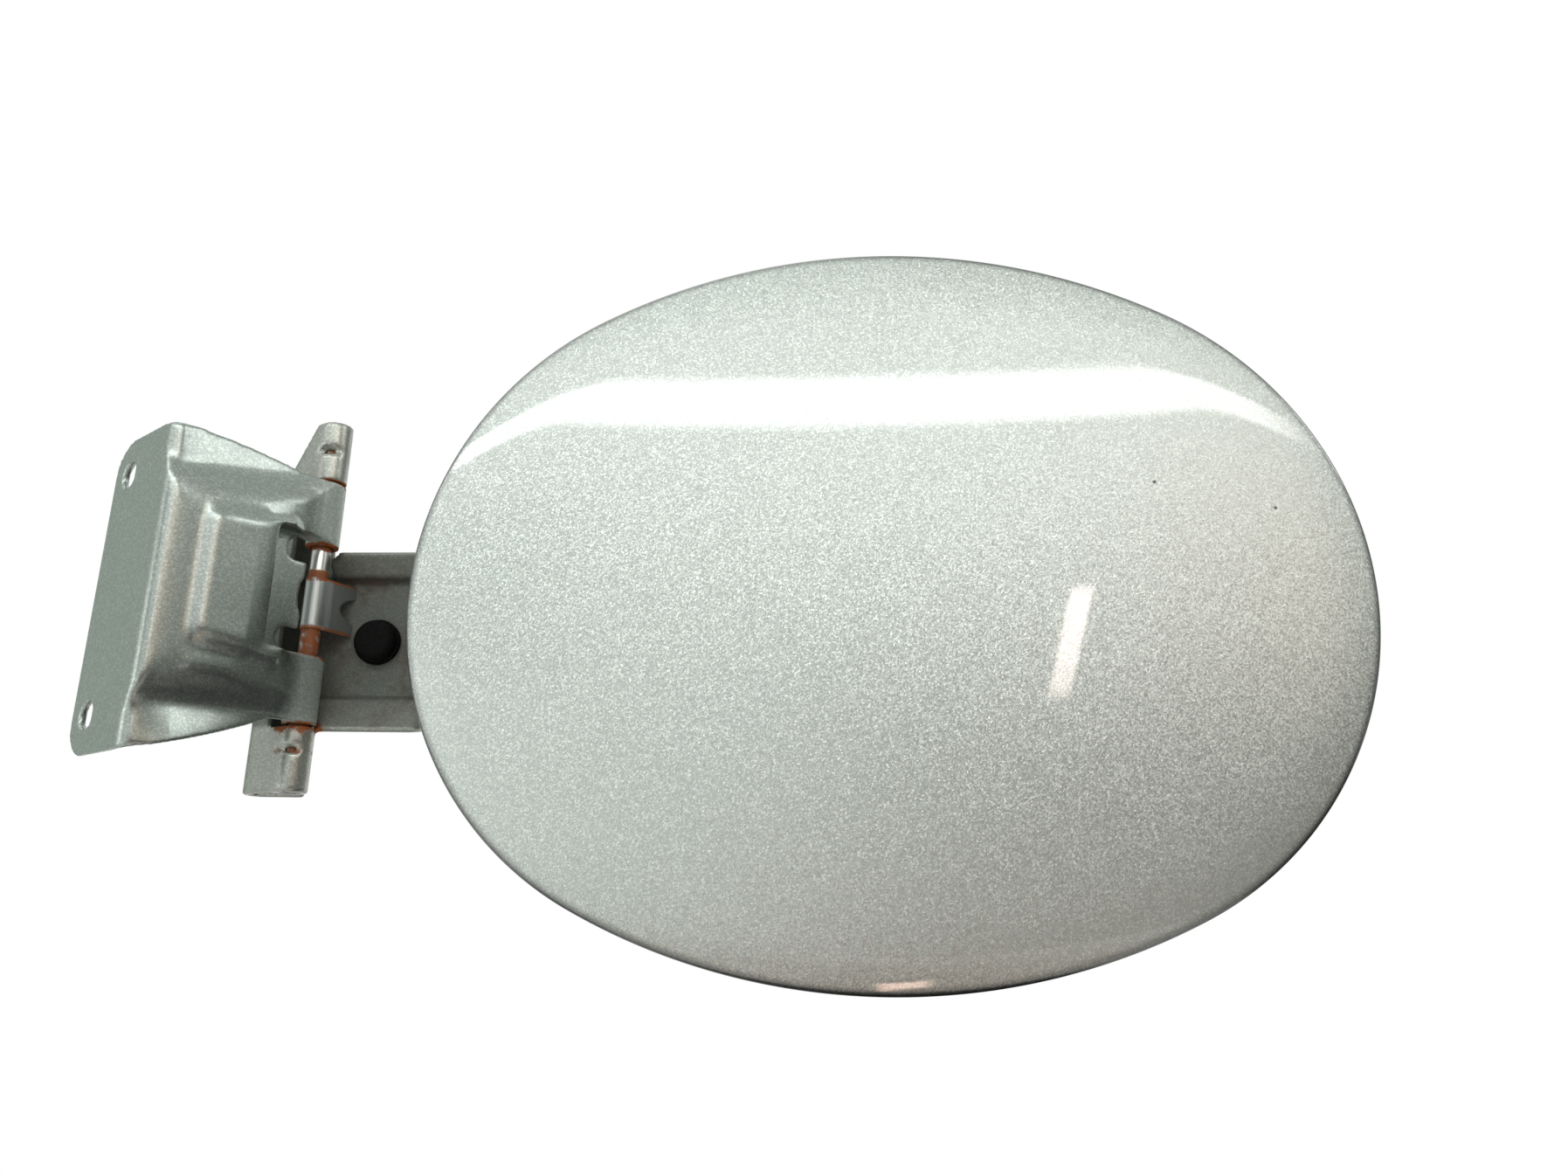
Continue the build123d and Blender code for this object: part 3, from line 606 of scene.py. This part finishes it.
def press_web(mesh, sizes):
    """Rounds the ridges of the bracket's web, as a press rounds them, without thinning the sheet.

    The web's outer face is read as a height over a grid along the pin and along the web. The height is
    blurred a little everywhere and more where that lowers it, so ridges get rounder than hollow creases, and
    the raised panel is pressed into it. Each point of the outer face then moves square to the web onto the
    new height, and each point of the inner face by the change in height at its place. The lips beyond the
    creases lean with their distance from them. The low strip by the pin, the knuckles and the flange are left
    out. The return values are each point's share, from 0 to 1, in the bend between web and flange and in the
    pressed web.
    """
    web_far, web_near = -34.6 * MM, -2.0 * MM
    strip_far, strip_half = -14.2 * MM, 13.4 * MM
    least_rise, least_facing = 1.5 * MM, 0.3
    crease_near, crease_run, crease_half = -7 * MM, 28.5 * MM, 25.4 * MM
    low_spread, high_draw, low_lean, high_lean = 1.0 * MM, 5.6 * MM, 0.2, 0.08
    corner_start, bend_start, bend_run, bend_depth = -32 * MM, -30 * MM, 4 * MM, 5 * MM
    points, normals = vertex_vectors(mesh, "co"), vertex_vectors(mesh, "normal")
    along = np.array([math.cos(sizes.open_angle), math.sin(sizes.open_angle), 0.0])
    out = np.array([math.sin(sizes.open_angle), -math.cos(sizes.open_angle), 0.0])
    placed = points - np.array(hinge_place)
    web, rise, pin = placed @ along, placed @ out, placed[:, 2]
    row, column = (pin - GRID_START) / GRID_STEP, (web - GRID_START) / GRID_STEP
    rows = np.clip(row.astype(int), 0, GRID_SHAPE[0] - 1)
    columns = np.clip(column.astype(int), 0, GRID_SHAPE[1] - 1)
    beside_strip = np.maximum(strip_far - web, np.abs(pin) - strip_half)
    on_web = (web > web_far) & (web < web_near) & (beside_strip >= 0) & (rise > least_rise)
    outer = on_web & (normals @ out > least_facing)
    total, count = np.zeros(GRID_SHAPE), np.zeros(GRID_SHAPE)
    np.add.at(total, (rows[outer], columns[outer]), rise[outer])
    np.add.at(count, (rows[outer], columns[outer]), 1.0)
    known = (count > 0).astype(float)
    level = total / np.maximum(count, 1.0)
    fine, soft, round_off = (
        blurred(level * known, width) / np.maximum(blurred(known, width), 1e-3)
        for width in (GRID_STEP, sizes.foot_round, sizes.crease_round)
    )
    pressed = press_panel(np.minimum(soft, round_off), soft, known, sizes)
    fade = grown(web - web_far, 2 * MM) * grown(web_near - web, 4 * MM) * grown(beside_strip, 3.5 * MM)
    to_bend = (crease_near - web) / crease_run
    under_low = np.maximum(-crease_half - low_spread * to_bend - pin, 0.0)
    over_high = np.maximum(pin - crease_half + high_draw * to_bend, 0.0)
    lean = low_lean * under_low - high_lean * over_high
    lean *= grown(web - web_far, 7 * MM)
    place = row - 0.5, column - 0.5
    moved = sampled(pressed, *place) - np.where(outer, rise, sampled(fine, *place)) + lean
    points += np.outer(np.where(on_web, moved * fade, 0.0), out)
    mesh.vertices.foreach_set("co", points.ravel())
    mesh.update()
    corner = np.full(GRID_SHAPE[0], -1.0)
    by_bend = web < corner_start
    np.maximum.at(corner, rows[by_bend], rise[by_bend])
    depth = corner[rows] - rise
    in_bend = grown(bend_depth - depth, bend_depth) * grown(bend_start - web, bend_run)
    return in_bend, np.where(on_web, fade, 0.0)


def round_edges(node, width):
    """Finishes a small piece: its sharp edges get a narrow rounding that catches the light."""
    weld_seams(node)
    edge = node.modifiers.new("edge", "BEVEL")
    edge.width = width
    edge.segments = 3
    edge.limit_method = "ANGLE"
    edge.angle_limit = math.radians(40)
    edge.harden_normals = True


class FUELDOOR_OT_door_skin(Operator):
    """Builds the painted skin of the door"""

    bl_idname = "fueldoor.door_skin"
    bl_label = "Door skin"

    def execute(self, context):
        settings = context.scene.fuel_door
        sizes = settings.sizes
        half_length = (skin_high.x - skin_low.x) / 2
        half_height = (skin_high.z - skin_low.z) / 2
        centre = (skin_low + skin_high) / 2
        radius = (half_length**2 + sizes.crown**2) / (2 * sizes.crown)
        share, inset, depth = (row[:, None] for row in skin_section(sizes))
        turn = np.linspace(0, 2 * math.pi, 480, endpoint=False)[None, :]
        across, up = oval(turn, inset, half_length, half_height, sizes.end_setback)
        across, up = share * across, share * up
        sphere_y = skin_low.y + radius
        out = sphere_y - np.sqrt((radius - depth) ** 2 - across**2 - up**2)
        rings = np.stack([centre.x + across, out + 0 * turn, centre.z + up], axis=-1)
        face_pole = (centre.x, skin_low.y, centre.z)
        back_pole = (centre.x, skin_low.y + sizes.skin_sheet, centre.z)
        mesh = shell_mesh("door_skin", rings, face_pole, back_pole)
        # Painted shade: a share of dark colour along the folded rim, most at the edge and fading inwards
        most_rim_shade, rim_shade_reach, rim_shade_fade = 0.9, 1.7 * sizes.hem_edge, 1.4 * sizes.hem_edge
        on_edge = most_rim_shade * grown(rim_shade_reach - inset, rim_shade_fade) * np.ones_like(turn)
        grime_and_shade = mesh.attributes.new("rim_shade_share", "FLOAT", "POINT")
        grime_and_shade.data.foreach_set("value", np.append(on_edge.ravel(), (0.0, 0.0)).astype(np.float32))
        skin = show_object("door_skin", mesh, silver_paint(settings))
        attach(skin, "door")
        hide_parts("outer_panel")
        return {"FINISHED"}


class FUELDOOR_OT_inner_panel(Operator):
    """Paints the pressed pan behind the door"""

    bl_idname = "fueldoor.inner_panel"
    bl_label = "Inner panel"

    def execute(self, context):
        settings = context.scene.fuel_door
        thin_paint = stamped_paint(
            "thin_silver_paint", settings, settings.colours.inner_grey, NO_LEVELS, 1.0, 0.25
        )
        panel = paint_node("inner_panel", thin_paint)
        round_edges(panel, settings.sizes.edge_round)
        return {"FINISHED"}


class FUELDOOR_OT_hinge_bracket(Operator):
    """Softens and paints the stamped body bracket"""

    bl_idname = "fueldoor.hinge_bracket"
    bl_label = "Hinge bracket"

    def execute(self, context):
        settings = context.scene.fuel_door
        levels = [
            (-40, 0.0), (-27, 0.3), (-26.3, 1.0), (-25.4, 0.2), (-13.4, 0.1), (-12.3, 0.8), (-11, 0.5),
            (11, 0.4), (12.2, 1.0), (13, 0.1), (25.6, 0.1), (26.3, 1.0), (27, 0.3), (40, 0.0),
        ]
        worn_paint = stamped_paint(
            "worn_silver_paint_bracket", settings, settings.colours.bracket_grey, levels, 6.0, 0.07
        )
        solid = frame["nodes"]["hinge_bracket"]
        soften_stamping(solid, settings.sizes.stamping_voxel)
        evened = solid.evaluated_get(context.evaluated_depsgraph_get())
        mesh = bpy.data.meshes.new_from_object(evened)
        solid.modifiers.clear()
        shares = press_web(mesh, settings.sizes)
        mesh.materials.clear()
        bracket = show_object("stamped_bracket", mesh, worn_paint)
        for name, share, rounds in zip(("bend", "web"), shares, (40, 4)):
            group = bracket.vertex_groups.new(name=name)
            for level in (0.33, 0.66, 1.0):
                group.add(np.flatnonzero(share >= level - 0.17).tolist(), level, "REPLACE")
            rounder = bracket.modifiers.new(name, "SMOOTH")
            rounder.factor = 0.5
            rounder.iterations = rounds
            rounder.vertex_group = name
        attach(bracket, "bracket")
        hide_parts("hinge_bracket")
        return {"FINISHED"}


class FUELDOOR_OT_hinge_arm(Operator):
    """Softens and paints the gooseneck arm"""

    bl_idname = "fueldoor.hinge_arm"
    bl_label = "Hinge arm"

    def execute(self, context):
        settings = context.scene.fuel_door
        levels = [
            (-40.3, 0.2), (-33.6, 0.2), (-32, 0.6), (-30.6, 0.3), (-28.6, 0.45), (-27, 1.0), (-24, 0.3),
            (24, 0.2), (26.6, 1.0), (27.6, 0.2), (32, 0.3), (36, 0.1), (40.3, 0.2),
        ]
        # Dirt and painted shade in the arm's channel in front of the door: its level at each height along the
        # pin
        channel = [
            (-27, 0.0), (-26, 0.5), (-20.2, 0.5), (-19.2, 0.9), (-18, 0.74),
            (5.4, 0.74), (6.2, 0.96), (7.0, 0.96), (8.0, 0.45), (26, 0.5), (27, 0.0),
        ]
        worn_paint = stamped_paint(
            "worn_silver_paint_arm", settings, settings.colours.arm_grey, levels, 6.0, 0.3, 0.15, channel
        )
        arm = paint_node("hinge_arm", worn_paint)
        soften_stamping(arm, 1.2 * settings.sizes.stamping_voxel)
        return {"FINISHED"}


class FUELDOOR_OT_pin_and_spring(Operator):
    """Finishes the hinge pin and the leaf spring on it"""

    bl_idname = "fueldoor.pin_and_spring"
    bl_label = "Pin and spring"

    def execute(self, context):
        settings = context.scene.fuel_door
        levels = [
            (-40, 0.6), (-27, 0.9), (-12, 1.0), (-10.5, 0.85), (-9, 0.78), (-7, 0.85), (-5.6, 1.0), (-5, 0.1),
            (4.4, 0.1), (4.9, 1.0), (6.6, 1.0), (7.2, 0.1), (10.8, 0.2), (11.8, 1.0), (27, 0.9), (40, 0.6),
        ]
        drawn = bare_steel("drawn_steel", settings, settings.colours.pin_bright, levels, 0.28)
        pin = paint_node("hinge_pin", drawn)
        round_edges(pin, 2 * settings.sizes.edge_round)
        spring_levels = [(-8, 0.8), (-5.6, 0.8), (-4.8, 0.15), (4.0, 0.15), (4.8, 0.8), (8, 0.6)]
        # The last number darkens the leaf away from the pin: dirt and painted shade
        rolled = bare_steel(
            "rolled_spring_steel", settings, settings.colours.spring_steel, spring_levels, 0.42, 0.8
        )
        paint_node("leaf_spring", rolled)
        return {"FINISHED"}


class FUELDOOR_OT_bumper(Operator):
    """Finishes the rubber bumper"""

    bl_idname = "fueldoor.bumper"
    bl_label = "Rubber bumper"

    def execute(self, context):
        settings = context.scene.fuel_door
        bumper = paint_node("rubber_bumper", black_rubber(settings))
        round_edges(bumper, settings.sizes.edge_round)
        return {"FINISHED"}


class FUELDOOR_OT_striker(Operator):
    """Finishes the latch striker"""

    bl_idname = "fueldoor.striker"
    bl_label = "Latch striker"

    def execute(self, context):
        settings = context.scene.fuel_door
        plated = bare_steel("zinc_plated_steel", settings, settings.colours.zinc, NO_LEVELS, 0.38)
        striker = paint_node("latch_striker", plated)
        round_edges(striker, settings.sizes.edge_round)
        return {"FINISHED"}


class FUELDOOR_OT_stage(Operator):
    """Sets the floor, the lamps, the cards round the object and the camera"""

    bl_idname = "fueldoor.stage"
    bl_label = "Stage"

    def execute(self, context):
        scene = context.scene
        scene.view_settings.view_transform = "Standard"
        self.light_world(scene)
        self.lay_floor()
        middle = (skin_low + skin_high) / 2
        self.hang_lamp("top_softbox", middle + Vector((-0.2, -0.4, 1.2)), middle, (1.2, 1.2), 4.0)
        centres = {"door": middle, "hinge": hinge_place}
        for name, centre, around, above, distance, margin, code, strength, shape in PATCHES:
            self.hang_patch(name, centres[centre], around, above, distance, margin, code, strength, **shape)
        self.place_camera(scene)
        return {"FINISHED"}

    def light_world(self, scene):
        """White to the camera and in reflections, and softer where it only lights the surfaces."""
        world = bpy.data.worlds.new("white_surroundings")
        world.use_nodes = True
        world.node_tree.nodes.clear()
        tree = world.node_tree
        ray = add_node(tree, "ShaderNodeLightPath")
        seen = worked_out(tree, "MAXIMUM", ray.outputs["Is Camera Ray"], ray.outputs["Is Glossy Ray"])
        shown = worked_out(tree, "MAXIMUM", seen, ray.outputs["Is Transmission Ray"])
        strength = mapped(tree, shown, end=(0.6, 1.0))
        light = add_node(tree, "ShaderNodeBackground", {"Color": (1.0, 1.0, 1.0, 1.0), "Strength": strength})
        add_node(tree, "ShaderNodeOutputWorld", {"Surface": light.outputs["Background"]})
        scene.world = world

    def lay_floor(self):
        """Pale round floor under the object, a grid of radius and angle."""
        count, around = 11, 96
        centre_x, level, reach = 0.15, -0.2, 0.55
        radius = np.linspace(0, reach, count + 1)[1:, None]
        turn = np.linspace(0, 2 * math.pi, around, endpoint=False)[None, :]
        rings = np.stack(
            [centre_x + radius * np.cos(turn), radius * np.sin(turn), np.full((count, around), level)], axis=-1
        )
        points = np.vstack([rings.reshape(-1, 3), [(centre_x, 0.0, level)]])
        mesh = bpy.data.meshes.new("floor")
        mesh.from_pydata(points.tolist(), [], ring_faces(count, around))
        material, tree = start_material("matt_white_board")
        close_material(tree, {"Base Color": rgba(linear("#E6E6E4")), "Roughness": 0.8})
        show_object("floor", mesh, material)

    def hang_lamp(self, name, place, target, size, power):
        """A soft white rectangular lamp turned towards the target."""
        lamp = bpy.data.lights.new(name, "AREA")
        lamp.shape = "RECTANGLE"
        lamp.size, lamp.size_y = size
        lamp.energy = power
        made = bpy.data.objects.new(name, lamp)
        turned = (target - place).to_track_quat("-Z", "Y").to_matrix().to_4x4()
        made.matrix_world = Matrix.Translation(place) @ turned
        made.visible_camera = False
        bpy.context.scene.collection.objects.link(made)

    def hang_patch(
        self, name, centre, around, above, distance, margin, code, strength, slant=(0, 0), bow=0, taper=0
    ):
        """A glowing or dark patch of a sphere round a centre, seen in reflections and never by the camera.

        Its grid is the angle round the vertical, from the front to the right, and the angle above the
        horizon. The slant shifts the first angle along the second and the second along the first. The bow
        lowers the ends and the taper narrows them, both with the square of the way from the middle. The
        patch fades out over the margins, shares of its width and of its height. Dark patches and lamps below
        the horizon show in reflections alone and light no matt surface.
        """
        wide, tall = 41, 21
        least_height = 0.35
        u, v = np.meshgrid(np.linspace(0, 1, wide), np.linspace(0, 1, tall))
        off = (2 * u - 1) ** 2
        turn = np.radians(around[0] + (around[1] - around[0]) * u + slant[0] * v)
        height = (above[1] - above[0]) * np.maximum(1 - taper * off, least_height)
        lift = np.radians((above[0] + above[1]) / 2 + (v - 0.5) * height + slant[1] * u - bow * off)
        towards = np.stack([np.cos(lift) * np.sin(turn), -np.cos(lift) * np.cos(turn), np.sin(lift)], axis=-1)
        points = np.array(centre) + distance * towards.reshape(-1, 3)
        inside = np.minimum(np.minimum(u, 1 - u) / margin[0], np.minimum(v, 1 - v) / margin[1])
        edge = np.clip(inside, 0, 1).ravel()
        first = (np.arange(tall - 1)[:, None] * wide + np.arange(wide - 1)).ravel()
        mesh = bpy.data.meshes.new(name)
        faces = np.stack([first, first + 1, first + wide + 1, first + wide], axis=-1)
        mesh.from_pydata(points.tolist(), [], faces.tolist())
        fade = mesh.attributes.new("fade", "FLOAT", "POINT")
        fade.data.foreach_set("value", (edge * edge * (3 - 2 * edge)).astype(np.float32))
        material, tree = start_material(name + "_board")
        share = add_node(tree, "ShaderNodeAttribute", attribute_name="fade")
        clear = add_node(tree, "ShaderNodeBsdfTransparent")
        glow = add_node(tree, "ShaderNodeEmission", {"Color": rgba(linear(code)), "Strength": strength})
        mixed = add_node(
            tree,
            "ShaderNodeMixShader",
            {0: share.outputs["Fac"], 1: clear.outputs["BSDF"], 2: glow.outputs["Emission"]},
        )
        add_node(tree, "ShaderNodeOutputMaterial", {"Surface": mixed.outputs["Shader"]})
        patch = show_object(name, mesh, material)
        patch.visible_camera = False
        patch.visible_shadow = False
        patch.visible_diffuse = strength > 1 and above[1] > 0

    def place_camera(self, scene):
        """Camera where the photograph was taken from, a little below the door and looking up at it."""
        view = bpy.data.cameras.new("camera")
        view.sensor_fit = "HORIZONTAL"
        view.sensor_width = 36.0
        view.lens = 28.08
        view.clip_start = 0.01
        place = Vector((0.15024, -0.22334, -0.06423))
        forward = Vector((-0.0688, 0.9578, 0.2792)).normalized()
        upward = Vector((-0.0005, -0.2799, 0.9600))
        right = forward.cross(upward).normalized()
        up = right.cross(forward)
        made = bpy.data.objects.new("camera", view)
        turned = Matrix((right, up, -forward)).transposed().to_4x4()
        made.matrix_world = Matrix.Translation(place) @ turned
        scene.collection.objects.link(made)
        scene.camera = made


class FUELDOOR_PT_panel(Panel):
    """Lists the steps and settings of the fuel door"""

    bl_idname = "FUELDOOR_PT_panel"
    bl_label = "Fuel door"
    bl_space_type = "VIEW_3D"
    bl_region_type = "UI"
    bl_category = "Fuel door"

    def draw(self, context):
        settings = context.scene.fuel_door
        for step in steps:
            self.layout.operator(step.bl_idname)
        for group in (settings.sizes, settings.colours):
            for name in group.__annotations__:
                self.layout.prop(group, name)


steps = (
    FUELDOOR_OT_door_skin,
    FUELDOOR_OT_inner_panel,
    FUELDOOR_OT_hinge_bracket,
    FUELDOOR_OT_hinge_arm,
    FUELDOOR_OT_pin_and_spring,
    FUELDOOR_OT_bumper,
    FUELDOOR_OT_striker,
    FUELDOOR_OT_stage,
)
classes = (FuelDoorSizes, FuelDoorColours, FuelDoorSettings, *steps, FUELDOOR_PT_panel)


def register():
    """Registers the classes and the scene's settings."""
    for item in classes:
        bpy.utils.register_class(item)
    bpy.types.Scene.fuel_door = PointerProperty(type=FuelDoorSettings)


def unregister():
    """Takes the settings and the classes away again."""
    del bpy.types.Scene.fuel_door
    for item in reversed(classes):
        bpy.utils.unregister_class(item)


def main():
    """Builds the whole object and its stage."""
    register()
    bpy.ops.fueldoor.door_skin()
    bpy.ops.fueldoor.inner_panel()
    bpy.ops.fueldoor.hinge_bracket()
    bpy.ops.fueldoor.hinge_arm()
    bpy.ops.fueldoor.pin_and_spring()
    bpy.ops.fueldoor.bumper()
    bpy.ops.fueldoor.striker()
    bpy.ops.fueldoor.stage()


if __name__ == "__main__":
    main()
